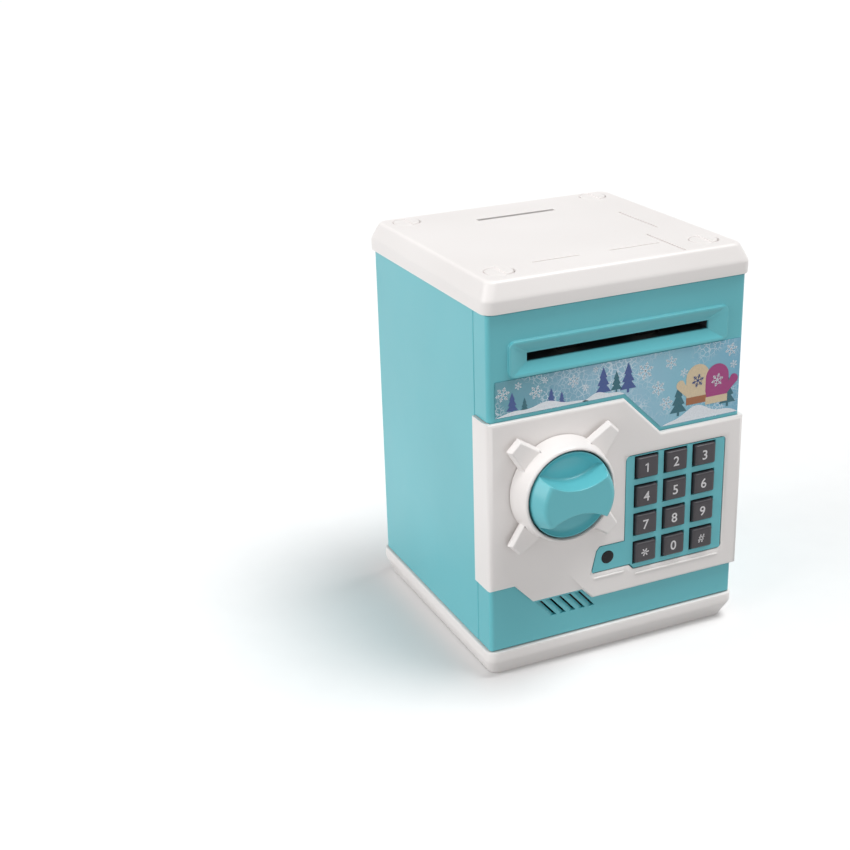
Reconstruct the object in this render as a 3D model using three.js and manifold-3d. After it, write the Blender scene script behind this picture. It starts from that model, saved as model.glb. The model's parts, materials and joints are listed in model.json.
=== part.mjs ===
// A toy safe coin bank. A teal cabinet stands on a white plinth under a white lid with a coin slot. Its whole
// front is a door on a vertical hinge at the right, with a banknote slot and powered rollers at the top, a
// knob that throws a latch bolt, and a keypad of twelve push keys.
// Millimetres, +Z up. The origin is on the plinth's underside, midway between its sides and MIDDLE in front of
// its centre, and the door faces -Y.
import * as THREE from "three";
import { mergeVertices } from "three/addons/utils/BufferGeometryUtils.js";
import Module from "manifold-3d";

// ---------------------------------------------------------------- driving dimensions

const GAP = 0.3; // between pieces that touch
const WALL = 2.5; // moulded walls

const SIDE = 65; // half the width of the cabinet and the door
const FRONT = -59.5; // outer face of the door
const BACK = 64.5; // outer face of the cabinet's back
const MIDDLE = (FRONT + BACK) / 2; // middle of the depth
const DOOR_REAR = -46.7;
const CABINET_FRONT = DOOR_REAR + GAP;

const PLINTH = { width: 133, depth: 127, top: 13.6, chamferTop: 8.4, chamferRun: 5.6, corner: 5, wall: 2.2 };
const CABINET = { bottom: PLINTH.top + GAP, top: 174.4, floor: 20.5, floorTop: 22.5 };
const LID = {
  width: 133.5,
  depth: 128,
  bottom: 174.7,
  bandTop: 180.6,
  top: 188.4,
  edge: 0.6,
  run: 3.5,
  corner: 5,
};
const DOOR = { bottom: 14.1, top: 174.2, face: 2.5, rim: 4, hingeRim: 7 };
const HINGE = { x: 62, y: -55.1, pin: 2, bore: 2.4 };

const FASCIA = { front: -62, rear: FRONT - GAP, side: 66.4, wrap: 2.1, corner: 2.5, bevel: 0.9 };
const LIP = { run: 1.8, depth: 0.8 }; // the fascia slopes down to the keypad insert
const PLATE_FRONT = FASCIA.front + LIP.depth;

const KEY = { width: 11.1, height: 10.2, front: -63.1, rear: -58.3, flange: 1.1, flangeDepth: 1.2 };
const KEY_OPENING = { width: 12.4, height: 11.4 };
const KEYPAD = { x: 29.7, z: 69.85, columnPitch: 15.5, rowPitch: 14.3 };
const KEY_ROWS = [
  ["1", "2", "3"],
  ["4", "5", "6"],
  ["7", "8", "9"],
  ["star", "0", "hash"],
];
const SENSOR = { x: -5.5, z: 49.5, radius: 2.85 };

const KNOB = { x: -31.8, z: 91.35, radius: 20.2, face: 15.8, front: -81.7, rim: -73.2, rear: -62.7 };
const SCOOP = { offset: 31, radius: 25.1, foot: 24.2, floor: -70.8 };
const RING = { inner: 20.8, foot: 24, rim: 22.4, edge: 1, front: -73.5, rear: FASCIA.front - GAP };
const LUG = { reach: 35.5, root: 13, tip: 7.4, front: -67.2, rear: -63.9, slope: { run: 1.3, depth: 2.6 } };

const TOOTH = { module: 0.8, share: 0.42, addendum: 0.7, dedendum: 1.1 };
const LATCH = { teeth: 8, front: -45.2, rear: -41, bottom: 83, tip: -56, tail: -4, rackTeeth: 7 };
const PLUNGER = { x: -14, radius: 1.2, bottom: 89.4, top: 103 };

const BILL_SLOT = { x: 0.6, z: 152.9, width: 92, height: 4 };
const BEZEL = { x: 0.1, z: 153.3, width: 110.6, height: 16.4, proud: 1.5, band: 1.3 };
const FUNNEL = { width: 93.4, height: 5, floor: FRONT + 1.3 }; // the bezel's slopes end here, round the slot
const FEED = { y: -44, z: 146.5, roller: 6, pinch: 4, shaft: 1.5, teeth: 16, pinionTeeth: 8 };
const CHUTE = { side: 49, rear: -34, bottom: 129.5, top: 163, plate: 1.4, cheek: 2 };
const GEAR_X = [50.5, 53.5]; // both gears, outside the chute's right cheek

const GRILLE = { x: -25, z: 29.7, slots: 5, pitch: 5, width: 3.2, height: 9, lean: 6.5 };
const SPEAKER = { x: -25.5, z: 33.6, radius: 13.5 };
const COVER = { left: -54.5, right: 51.4, bottom: 26, top: 127, front: -48.1, rear: -36, wall: 1.8 };
const COVER_SCREWS = [
  [-57.4, 32],
  [-57.4, 121.5],
  [54.4, 32],
  [54.4, 121.5],
];

const COIN_SLOT = { x: 0.5, y: 39.5, length: 42, width: 3.2 };
const PLUG = { x: 51.4, front: -44.6, rear: 54, radius: 6, dish: 7, depth: 1.1 };
const CELL = { radius: 7.1, length: 49, nub: 1.2, z: 9.7, pitch: 15, firstY: 13 };
const BAY = { side: 29.5, front: 5.4, rear: 50.6, wall: 1.6, top: 17.7, lip: 1.8, roof: 19.5 };
const TAB = { x: 38.2, screwX: 34.8, y: 28, half: 6, top: 4, headSeat: 2.4 };
const PLINTH_SCREWS = [
  [-48, -38],
  [48, -38],
  [-48, 44],
  [48, 44],
];

// ---------------------------------------------------------------- solids

const wasm = await Module();
wasm.setup();

const UNIT = {
  x: new THREE.Vector3(1, 0, 0),
  y: new THREE.Vector3(0, 1, 0),
  z: new THREE.Vector3(0, 0, 1),
};
// Turns a shape drawn flat so that it stands across an axis: (y, z) across X, (x, z) across Y, (x, y) across Z.
const ACROSS = {
  x: new THREE.Matrix4().makeBasis(UNIT.y, UNIT.z, UNIT.x),
  y: new THREE.Matrix4().makeBasis(UNIT.x, UNIT.z, UNIT.y.clone().negate()),
  z: new THREE.Matrix4(),
};

function solid(geometry) {
  const bare = geometry.clone();
  bare.deleteAttribute("normal");
  bare.deleteAttribute("uv");
  const merged = mergeVertices(bare, 1e-4);
  const mesh = new wasm.Mesh({
    numProp: 3,
    vertProperties: new Float32Array(merged.attributes.position.array),
    triVerts: new Uint32Array(merged.index.array),
  });
  return new wasm.Manifold(mesh);
}

function surface(body) {
  const mesh = body.getMesh();
  const indexed = new THREE.BufferGeometry();
  indexed.setAttribute("position", new THREE.BufferAttribute(new Float32Array(mesh.vertProperties), 3));
  indexed.setIndex(new THREE.BufferAttribute(new Uint32Array(mesh.triVerts), 1));
  const flat = indexed.toNonIndexed();
  flat.computeVertexNormals();
  return flat;
}

function joined(first, ...others) {
  return others.reduce((whole, other) => whole.add(other), first);
}

function cut(first, ...others) {
  return others.reduce((whole, other) => whole.subtract(other), first);
}

function block([x0, x1], [y0, y1], [z0, z1]) {
  const box = new THREE.BoxGeometry(x1 - x0, y1 - y0, z1 - z0);
  box.translate((x0 + x1) / 2, (y0 + y1) / 2, (z0 + z1) / 2);
  return solid(box);
}

// A shape carried along an axis from one coordinate to another.
function prism(axis, shape, [from, to], curveSegments = 5) {
  const options = { depth: to - from, bevelEnabled: false, curveSegments };
  const geometry = new THREE.ExtrudeGeometry(shape, options);
  geometry.translate(0, 0, axis === "y" ? -to : from);
  geometry.applyMatrix4(ACROSS[axis]);
  return solid(geometry);
}

function outline(points) {
  return new THREE.Shape(points.map(([u, v]) => new THREE.Vector2(u, v)));
}

function roundedRectangle(width, height, radius, u = 0, v = 0) {
  const [w, h] = [width / 2 - radius, height / 2 - radius];
  const shape = new THREE.Shape();
  shape.absarc(u + w, v - h, radius, -Math.PI / 2, 0);
  shape.absarc(u + w, v + h, radius, 0, Math.PI / 2);
  shape.absarc(u - w, v + h, radius, Math.PI / 2, Math.PI);
  shape.absarc(u - w, v - h, radius, Math.PI, Math.PI * 1.5);
  shape.closePath();
  return shape;
}

// A prism with bevelled ends: over the last depth before each end, its outline shrinks by run.
function bevelledPrism(axis, shape, [from, to], { run, depth }) {
  const options = {
    depth: to - from - 2 * depth,
    bevelThickness: depth,
    bevelSize: run,
    bevelOffset: -run,
    bevelSegments: 1,
  };
  const geometry = new THREE.ExtrudeGeometry(shape, options);
  geometry.translate(0, 0, (axis === "y" ? -to : from) + depth);
  geometry.applyMatrix4(ACROSS[axis]);
  return solid(geometry);
}

// A cylinder along an axis, or a cone if radius is a pair; at gives its place on the other two axes, in
// alphabetical order.
function rod(axis, radius, [from, to], at, sides = 20) {
  const [start, end] = Array.isArray(radius) ? radius : [radius, radius];
  const geometry = new THREE.CylinderGeometry(end, start, to - from, sides);
  const middle = (from + to) / 2;
  if (axis === "x") {
    geometry.rotateZ(-Math.PI / 2);
    geometry.translate(middle, at[0], at[1]);
  } else if (axis === "y") {
    geometry.translate(at[0], middle, at[1]);
  } else {
    geometry.rotateX(Math.PI / 2);
    geometry.translate(at[0], at[1], middle);
  }
  return solid(geometry);
}

// A turned piece about an axis parallel to Y, from a closed profile of [radius, y].
function turned(profile, x, z, segments = 36) {
  const points = profile.map(([radius, y]) => new THREE.Vector2(radius, y));
  const geometry = new THREE.LatheGeometry(points, segments);
  geometry.translate(x, 0, z);
  return solid(geometry);
}

// A stack of rounded rectangles, each {z, width, depth, radius}, skinned into one closed body.
function lofted(levels, arcSegments = 3) {
  const rings = levels.map(({ width, depth, radius }) => {
    const points = roundedRectangle(width, depth, radius).getPoints(arcSegments);
    return points.filter((point, i) => i === 0 || point.distanceTo(points[i - 1]) > 1e-6);
  });
  const count = rings[0].length - 1;
  const corners = [];
  rings.forEach((ring, level) => {
    ring.slice(0, count).forEach((point) => corners.push(point.x, point.y, levels[level].z));
  });
  const faces = [];
  for (let level = 0; level < levels.length - 1; level++) {
    for (let i = 0; i < count; i++) {
      const [a, b] = [level * count + i, level * count + ((i + 1) % count)];
      faces.push(a, b, b + count, a, b + count, a + count);
    }
  }
  const top = (levels.length - 1) * count;
  for (let i = 1; i < count - 1; i++) {
    faces.push(0, i + 1, i);
    faces.push(top, top + i, top + i + 1);
  }
  const geometry = new THREE.BufferGeometry();
  geometry.setAttribute("position", new THREE.Float32BufferAttribute(corners, 3));
  geometry.setIndex(faces);
  return solid(geometry);
}

// Spur gear outline, one tooth pointing at the phase angle.
function gearShape(teeth, phase) {
  const { module, share, addendum, dedendum } = TOOTH;
  const pitch = (module * teeth) / 2;
  const halfTooth = (share * Math.PI * module) / 2;
  const flanks = [
    [pitch - dedendum, 1.3],
    [pitch + addendum, 0.6],
  ];
  const points = [];
  for (let i = 0; i < teeth; i++) {
    const centre = phase + (i * 2 * Math.PI) / teeth;
    for (const side of [-1, 1]) {
      const path = side < 0 ? flanks : [...flanks].reverse();
      for (const [radius, swell] of path) {
        const angle = centre + (side * halfTooth * swell) / radius;
        points.push([radius * Math.cos(angle), radius * Math.sin(angle)]);
      }
    }
  }
  return outline(points);
}

// A pan-head screw pointing along +Z with its head's underside at z = 0, and a cross recess in the head.
function screwGeometry(headRadius, headHeight, shankRadius, shankLength) {
  const head = rod("z", headRadius, [-headHeight, 0], [0, 0], 14);
  const shank = rod("z", shankRadius, [-0.1, shankLength], [0, 0], 8);
  const [arm, half, depth] = [headRadius * 0.62, headRadius * 0.14, headHeight * 0.45];
  const bottom = [-headHeight - 1, -headHeight + depth];
  const recess = joined(block([-arm, arm], [-half, half], bottom), block([-half, half], [-arm, arm], bottom));
  return surface(cut(joined(head, shank), recess));
}

// ---------------------------------------------------------------- materials and the tree

function plastic(color, roughness = 0.3) {
  return new THREE.MeshStandardMaterial({ color, roughness, metalness: 0 });
}

function metal(color, roughness = 0.35) {
  return new THREE.MeshStandardMaterial({ color, roughness, metalness: 1 });
}

const LOOK = {
  teal: plastic(0x63b5bd),
  white: plastic(0xf3f0ee),
  charcoal: plastic(0x4b484e, 0.55),
  black: plastic(0x17181a, 0.5),
  grey: plastic(0x9a9ca0, 0.5),
  nylon: plastic(0xd8d4c4, 0.5),
  board: plastic(0x1f6a45, 0.5),
  sticker: plastic(0xa9cfe6, 0.25),
  cell: plastic(0x2a5f9e, 0.3),
  steel: metal(0xb8bbbf),
};

const bank = new THREE.Group();
const cabinet = new THREE.Group();
const door = new THREE.Group();
bank.add(cabinet, door);

function addGeometry(parent, name, geometry, look) {
  const mesh = new THREE.Mesh(geometry, look);
  mesh.name = name;
  parent.add(mesh);
  return mesh;
}

function add(parent, name, body, look) {
  return addGeometry(parent, name, surface(body), look);
}

// ---------------------------------------------------------------- cabinet, plinth and lid

function plinthLevels(inset) {
  const { width, depth, top, chamferTop, chamferRun, corner } = PLINTH;
  const level = (z, shrink, radius) => ({
    z,
    width: width - 2 * (shrink + inset),
    depth: depth - 2 * (shrink + inset),
    radius,
  });
  return [level(0, chamferRun, corner), level(chamferTop, 0, corner), level(top, 0, corner)];
}

function makePlinth() {
  const { top, wall } = PLINTH;
  const deck = top - wall;
  const outer = lofted(plinthLevels(0)).translate([0, MIDDLE, 0]);
  const across = [-100, 100];
  const inner = lofted(plinthLevels(wall)).translate([0, MIDDLE, 0]);
  const inside = inner.intersect(block(across, across, [wall, deck]));
  const openDeck = block([-57, 57], [-43, 61], [deck - 1, top + 1]);
  let plinth = cut(outer, inside, openDeck);

  const { side, front, rear, wall: bayWall, top: bayTop, lip, roof } = BAY;
  const bayOuter = block([-side - bayWall, side + bayWall], [front - bayWall, rear + bayWall], [0.5, roof]);
  const bayInner = block([-side, side], [front, rear], [-1, bayTop]);
  const coverSeat = block([-side - lip, side + lip], [front - lip, rear + lip], [-1, wall]);
  const tabSides = (grow) => [TAB.y - TAB.half - grow, TAB.y + TAB.half + grow];
  const tabSeat = block([side + bayWall, TAB.x + 0.4], tabSides(0.4), [-1, TAB.top + GAP]);
  const tabBoss = block([side + bayWall - 0.1, TAB.x + 2], tabSides(2), [0.5, 11]);
  const tabBore = rod("z", 1.3, [1, 9.5], [TAB.screwX, TAB.y], 10);
  plinth = cut(joined(plinth, bayOuter, tabBoss), bayInner, coverSeat, tabSeat, tabBore);

  for (const [x, y] of PLINTH_SCREWS) {
    plinth = joined(plinth, rod("z", 4.6, [1, 12], [x, y], 14));
    plinth = cut(plinth, rod("z", 3.3, [-1, 9.2], [x, y], 14), rod("z", 1.5, [8, 13], [x, y], 8));
  }
  const hingeBoss = rod("z", 5.5, [1, deck + 0.5], [HINGE.x - 1, HINGE.y + 1]).intersect(outer);
  const hingeBore = rod("z", HINGE.bore, [8, top + 1], [HINGE.x, HINGE.y], 16);
  return cut(joined(plinth, hingeBoss), hingeBore);
}

function makeCabinetShell() {
  const { bottom, top, floor, floorTop } = CABINET;
  const plan = new THREE.Shape();
  const corner = 3;
  plan.moveTo(-SIDE, CABINET_FRONT);
  plan.lineTo(SIDE, CABINET_FRONT);
  plan.absarc(SIDE - corner, BACK - corner, corner, 0, Math.PI / 2);
  plan.absarc(-SIDE + corner, BACK - corner, corner, Math.PI / 2, Math.PI);
  plan.closePath();
  const inner = SIDE - WALL;
  const hollow = (levels) => block([-inner, inner], [CABINET_FRONT - 1, BACK - WALL], levels);
  let shell = cut(prism("z", plan, [bottom, top]), hollow([bottom - 1, floor]), hollow([floorTop, top + 1]));
  for (const [x, y] of PLINTH_SCREWS) {
    shell = joined(shell, rod("z", 3.6, [12.4, floor + 0.5], [x, y], 14));
    shell = cut(shell, rod("z", 1.3, [12, 19], [x, y], 8));
  }
  return shell;
}

function makeLid() {
  const { width, depth, bottom, bandTop, top, edge, run, corner } = LID;
  const level = (z, shrink, radius) => ({ z, width: width - 2 * shrink, depth: depth - 2 * shrink, radius });
  const outer = lofted([
    level(bottom, 0, corner),
    level(bandTop, 0, corner),
    level(top - edge, run - edge, corner - 0.8),
    level(top, run, corner - 1.2),
  ]).translate([0, MIDDLE, 0]);
  const hollow = block([-60, 60], [-56.5, 61.5], [bottom - 1, top - WALL]);
  const { x, y, length, width: slot } = COIN_SLOT;
  const coinSlot = block([x - length / 2, x + length / 2], [y - slot / 2, y + slot / 2], [bottom, top + 1]);
  const hingeBore = rod("z", HINGE.bore, [bottom - 1, bottom + 6.5], [HINGE.x, HINGE.y], 16);
  let lid = cut(outer, hollow, coinSlot, hingeBore);
  for (const plugX of [-PLUG.x, PLUG.x]) {
    for (const plugY of [PLUG.front, PLUG.rear]) {
      lid = cut(lid, rod("z", PLUG.dish, [top - PLUG.depth, top + 1], [plugX, plugY], 24));
    }
  }
  return lid;
}

function addLidPlugs() {
  const disc = rod("z", PLUG.radius, [0, PLUG.depth + 0.1], [0, 0], 24);
  const notch = block([-4.2, 4.2], [-0.9, 0.9], [PLUG.depth - 0.6, PLUG.depth + 1]);
  const geometry = surface(cut(disc, notch));
  for (const end of ["front", "rear"]) {
    for (const [side, hand] of [
      [-1, "left"],
      [1, "right"],
    ]) {
      const plug = addGeometry(cabinet, "lid_plug_" + end + "_" + hand, geometry, LOOK.white);
      plug.position.set(side * PLUG.x, PLUG[end], LID.top - PLUG.depth + GAP);
    }
  }
}

function makeStrike() {
  const inner = -(SIDE - WALL - GAP);
  const keeper = block([inner, -58.6], [CABINET_FRONT, -38.6], [79, 94]);
  const pocket = block([-61.5, -58], [LATCH.front - 0.4, LATCH.rear + 0.7], [LATCH.bottom - 0.8, 88.9]);
  return cut(keeper, pocket);
}

function addBatteries() {
  const { radius, length, nub, z, pitch, firstY } = CELL;
  const can = rod("x", radius, [-length / 2, length / 2], [0, 0], 20);
  const cell = surface(joined(can, rod("x", 2.7, [0, length / 2 + nub], [0, 0], 12)));
  for (let i = 0; i < 3; i++) {
    const battery = addGeometry(cabinet, "battery_" + (i + 1), cell, LOOK.cell);
    battery.position.set(0, firstY + i * pitch, z);
    battery.rotation.z = i % 2 ? Math.PI : 0;
  }
}

// A sprung plate at one end of the battery bay, with a stud that reaches each cell's end.
function makeBatteryContact(hand) {
  const { length, nub, z, pitch, firstY } = CELL;
  const inner = BAY.side - GAP;
  const reach = (depth) => (hand < 0 ? [-inner, -depth] : [depth, inner]);
  let plate = block(reach(inner - 0.6), [BAY.front + 0.6, BAY.rear - 0.6], [4, 15.5]);
  for (let i = 0; i < 3; i++) {
    const meetsNub = (i % 2 === 0) === (hand > 0);
    const end = length / 2 + (meetsNub ? nub : 0) + GAP;
    plate = joined(plate, rod("x", 3, reach(end), [firstY + i * pitch, z], 12));
  }
  return plate;
}

function makeBatteryCover() {
  const { side, front, rear, lip } = BAY;
  const edge = lip - GAP;
  const [low, high] = [0.3, 1.9];
  const panel = block([-side - edge, side + edge], [front - edge, rear + edge], [low, high]);
  const tab = joined(
    block([side, TAB.x], [TAB.y - TAB.half, TAB.y + TAB.half], [low, high]),
    block([side + BAY.wall + GAP, TAB.x], [TAB.y - TAB.half, TAB.y + TAB.half], [low, TAB.top]),
  );
  const headSeat = rod("z", 2.6, [-1, TAB.headSeat], [TAB.screwX, TAB.y], 14);
  let cover = cut(joined(panel, tab), headSeat, rod("z", 1.4, [-1, 5], [TAB.screwX, TAB.y], 10));
  for (let i = 0; i < 5; i++) {
    const x = -24 + i * 2.4;
    cover = cut(cover, block([x, x + 1.2], [TAB.y - 8, TAB.y + 8], [low - 1, low + 0.6]));
  }
  return cover;
}

add(cabinet, "cabinet_shell", makeCabinetShell(), LOOK.teal);
add(cabinet, "plinth", makePlinth(), LOOK.white);
add(cabinet, "lid", makeLid(), LOOK.white);
addLidPlugs();
add(cabinet, "latch_strike", makeStrike(), LOOK.white);
addBatteries();
add(cabinet, "battery_contact_left", makeBatteryContact(-1), LOOK.steel);
add(cabinet, "battery_contact_right", makeBatteryContact(1), LOOK.steel);
add(cabinet, "battery_cover", makeBatteryCover(), LOOK.white);

const coverScrew = addGeometry(cabinet, "battery_cover_screw", screwGeometry(2.2, 1.2, 1, 6), LOOK.steel);
coverScrew.position.set(TAB.screwX, TAB.y, TAB.headSeat - GAP);

const plinthScrew = screwGeometry(2.8, 1.8, 1, 8.6);
PLINTH_SCREWS.forEach(([x, y], i) => {
  const screw = addGeometry(cabinet, "plinth_screw_" + (i + 1), plinthScrew, LOOK.steel);
  screw.position.set(x, y, 8.9);
});

// ---------------------------------------------------------------- door

// The door's plan: front corners rounded, and the rear corner by the hinge rounded about the hinge axis so
// that it clears the cabinet as it turns.
function doorPlan() {
  const corner = 2;
  const plan = new THREE.Shape();
  plan.moveTo(-SIDE, DOOR_REAR);
  plan.lineTo(-SIDE, FRONT + corner);
  plan.absarc(-SIDE + corner, FRONT + corner, corner, Math.PI, Math.PI * 1.5);
  plan.absarc(SIDE - corner, FRONT + corner, corner, -Math.PI / 2, 0);
  const reach = DOOR_REAR - HINGE.y;
  plan.absarc(HINGE.x, HINGE.y, reach, Math.acos((SIDE - HINGE.x) / reach), Math.PI / 2);
  plan.closePath();
  return plan;
}

// The fascia's face: it steps down beside the banknote panel, and a tab hangs over the loudspeaker's grille.
const FASCIA_OUTLINE = [
  [-FASCIA.side, 126.1],
  [1.8, 126.1],
  [21.3, 106.6],
  [FASCIA.side, 106.6],
  [FASCIA.side, 30.2],
  [-13.4, 30.2],
  [-18.8, 35.9],
  [-44.1, 35.9],
  [-53.5, 45.9],
  [-FASCIA.side, 45.9],
];

// The window in the fascia for the keypad insert, with a bay at its lower left for the sensor.
function windowOutline(inset) {
  return outline([
    [3.2 + inset, 98 - inset],
    [57 - inset, 98 - inset],
    [57 - inset, 39.9 + inset],
    [8.4 + inset, 39.9 + inset],
    [6 + inset, 42.5 + inset],
    [-14.4 + inset * 1.6, 42.5 + inset],
    [-11.6 + inset, 53.8 - inset * 0.4],
    [-9.8 + inset * 0.6, 55.9 - inset],
    [3.2 + inset, 55.9 - inset],
  ]);
}

function grilleSlot(index) {
  const middle = GRILLE.x + (index - (GRILLE.slots - 1) / 2) * GRILLE.pitch;
  const [half, rise, lean] = [GRILLE.width / 2, GRILLE.height / 2, GRILLE.lean / 2];
  return outline([
    [middle + lean - half, GRILLE.z - rise],
    [middle + lean + half, GRILLE.z - rise],
    [middle - lean + half, GRILLE.z + rise],
    [middle - lean - half, GRILLE.z + rise],
  ]);
}

function eachKey(visit) {
  KEY_ROWS.forEach((row, r) => {
    row.forEach((label, c) => {
      visit(label, KEYPAD.x + (c - 1) * KEYPAD.columnPitch, KEYPAD.z + (1.5 - r) * KEYPAD.rowPitch);
    });
  });
}

function makeDoorShell() {
  const { bottom, top, face, rim, hingeRim } = DOOR;
  const throughFace = [FRONT - 5, FRONT + face + 1];
  const inside = FRONT + face;
  const hollow = block([-SIDE + rim, SIDE - hingeRim], [inside, DOOR_REAR + 1], [bottom + rim, top - rim]);
  let shell = cut(prism("z", doorPlan(), [bottom, top]), hollow);

  const { x, z, width, height, proud, band } = BEZEL;
  const bezel = prism("y", roundedRectangle(width, height, 3, x, z), [FRONT - proud, FRONT + 0.5], 3);
  const mouth = { z: proud - FRONT, width: width - 2 * band, depth: height - 2 * band, radius: 1.7 };
  const throat = { z: -FUNNEL.floor, width: FUNNEL.width, depth: FUNNEL.height, radius: 0.5 };
  const funnel = lofted([throat, mouth]).rotate([90, 0, 0]).translate([x, 0, z]);
  shell = cut(joined(shell, bezel), funnel);
  const [slotX, slotZ] = [BILL_SLOT.width / 2, BILL_SLOT.height / 2];
  const billSlot = [BILL_SLOT.z - slotZ, BILL_SLOT.z + slotZ];
  shell = cut(shell, block([BILL_SLOT.x - slotX, BILL_SLOT.x + slotX], throughFace, billSlot));

  const keyField = block([5.5, 54], throughFace, [41.9, 97.6]);
  const knobBore = rod("y", 4.6, throughFace, [KNOB.x, KNOB.z], 24);
  const sensorBore = rod("y", SENSOR.radius, throughFace, [SENSOR.x, SENSOR.z], 20);
  shell = cut(shell, keyField, knobBore, sensorBore);
  for (let i = 0; i < GRILLE.slots; i++) {
    shell = cut(shell, prism("y", grilleSlot(i), throughFace));
  }

  const wrapDepth = FASCIA.side - FASCIA.wrap - GAP;
  const depths = [FRONT - 1, DOOR_REAR + 1];
  const leftSeat = block([-SIDE - 1, -wrapDepth], depths, [45.9 - GAP, 126.1 + GAP]);
  const rightSeat = block([wrapDepth, SIDE + 1], depths, [30.2 - GAP, 106.6 + GAP]);
  shell = cut(shell, leftSeat, rightSeat);

  for (const [screwX, screwZ] of COVER_SCREWS) {
    shell = joined(shell, rod("y", 3, [inside - 0.5, COVER.front - GAP], [screwX, screwZ], 16));
    shell = cut(shell, rod("y", 1.2, [inside + 0.5, COVER.front], [screwX, screwZ], 10));
  }
  const lowBore = rod("z", HINGE.bore, [bottom - 1, bottom + 8], [HINGE.x, HINGE.y], 16);
  const highBore = rod("z", HINGE.bore, [top - 8, top + 1], [HINGE.x, HINGE.y], 16);
  return cut(shell, lowBore, highBore);
}

function makeFascia() {
  const { front, rear, side, wrap, corner, bevel } = FASCIA;
  const [wrapEnd, hingeWrapEnd] = [DOOR_REAR - GAP, DOOR_REAR - 1.6];
  const plan = new THREE.Shape();
  plan.moveTo(-side, wrapEnd);
  plan.lineTo(-side, front + corner);
  plan.absarc(-side + corner, front + corner, corner, Math.PI, Math.PI * 1.5);
  plan.absarc(side - corner, front + corner, corner, -Math.PI / 2, 0);
  plan.lineTo(side, hingeWrapEnd);
  plan.lineTo(side - wrap, hingeWrapEnd);
  plan.lineTo(side - wrap, rear);
  plan.lineTo(-side + wrap, rear);
  plan.lineTo(-side + wrap, wrapEnd);
  plan.closePath();
  const depths = [front - 1, DOOR_REAR + 1];
  const face = bevelledPrism("y", outline(FASCIA_OUTLINE), [front, DOOR_REAR + 5], { run: bevel, depth: bevel });
  let panel = prism("z", plan, [20, 130]).intersect(face);

  // The tab's lower facet slopes back towards its bottom edge.
  const slope = outline([
    [front - 2, 45.9],
    [front, 45.9],
    [front + 1.5, 30],
    [front - 2, 30],
  ]);
  const facet = outline([[-53.5, 45.9], [-26.5, 45.9], [-13.4, 30.2], [-18.8, 30.2], [-50, 30.2]]);
  panel = cut(panel, prism("x", slope, [-70, 0]).intersect(prism("y", facet, depths)));

  const lip = bevelledPrism("y", windowOutline(-LIP.run), [front - 3, PLATE_FRONT], LIP);
  const knobBore = rod("y", 4.6, depths, [KNOB.x, KNOB.z], 24);
  return cut(panel, lip, prism("y", windowOutline(0), depths), knobBore);
}

function makeKeypadPlate() {
  const { width, height } = KEY_OPENING;
  const across = [PLATE_FRONT - 1, FASCIA.rear + 1];
  let plate = prism("y", windowOutline(0.4), [PLATE_FRONT, FASCIA.rear]);
  eachKey((label, x, z) => {
    plate = cut(plate, block([x - width / 2, x + width / 2], across, [z - height / 2, z + height / 2]));
  });
  return cut(plate, rod("y", SENSOR.radius, across, [SENSOR.x, SENSOR.z], 20));
}

// A key cap centred on x = z = 0: a crowned cap and a wider flange that holds it behind the insert.
function keyGeometry() {
  const { width, height, front, rear, flange, flangeDepth } = KEY;
  const chamfer = 0.7;
  const cap = roundedRectangle(width - 2 * chamfer, height - 2 * chamfer, 0.8);
  const depth = rear - front - chamfer;
  const options = { depth, bevelThickness: chamfer, bevelSize: chamfer, bevelSegments: 1, curveSegments: 2 };
  const crowned = new THREE.ExtrudeGeometry(cap, options);
  crowned.applyMatrix4(ACROSS.y);
  crowned.translate(0, rear, 0);
  const [halfWidth, halfHeight] = [width / 2 + flange, height / 2 + flange];
  const depths = [rear - flangeDepth, rear];
  const collar = block([-halfWidth, halfWidth], depths, [-halfHeight, halfHeight]);
  const behind = block([-20, 20], [rear, rear + 5], [-20, 20]);
  return surface(cut(joined(solid(crowned), collar), behind));
}

// The collar round the knob, with four lugs that stand clear of the fascia.
function makeKnobRing() {
  const { inner, foot, rim, edge, front, rear } = RING;
  const collar = turned(
    [
      [inner, rear],
      [inner, front + 0.4],
      [inner + 0.4, front],
      [rim - edge, front],
      [rim - edge * 0.3, front + edge * 0.3],
      [rim, front + edge],
      [foot, rear],
      [inner, rear],
    ],
    0,
    0,
    48,
  );
  const lugFace = outline([
    [inner + 0.4, -LUG.root / 2],
    [LUG.reach, -LUG.tip / 2],
    [LUG.reach, LUG.tip / 2],
    [inner + 0.4, LUG.root / 2],
  ]);
  const behind = block([-50, 50], [LUG.rear, LUG.rear + 10], [-50, 50]);
  const lug = cut(bevelledPrism("y", lugFace, [LUG.front, LUG.rear + 5], LUG.slope), behind);
  const lugs = [45, 135, 225, 315].map((angle) => lug.rotate([0, angle, 0]));
  const bore = rod("y", inner, [front - 1, rear + 1], [0, 0], 48);
  return cut(joined(collar, ...lugs), bore).translate([KNOB.x, 0, KNOB.z]);
}

// The knob is a dome with a flat top, and two scoops leave a waisted grip bar across it.
function makeKnob() {
  const { x, z, radius, face, front, rim, rear } = KNOB;
  const dome = turned(
    [
      [0, rear],
      [0, front],
      [face - 1.4, front],
      [face, front + 0.8],
      [radius - 0.4, rim],
      [radius, rim + 0.8],
      [radius, rear],
      [0, rear],
    ],
    x,
    z,
    40,
  );
  const depths = [front - 1, SCOOP.floor];
  const radii = [SCOOP.radius, SCOOP.foot];
  const scoops = [-1, 1].map((way) => rod("y", radii, depths, [x, z + way * SCOOP.offset], 48));
  return cut(dome, ...scoops, rod("y", 4.3, [-66, rear + 1], [x, z], 20));
}

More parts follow.
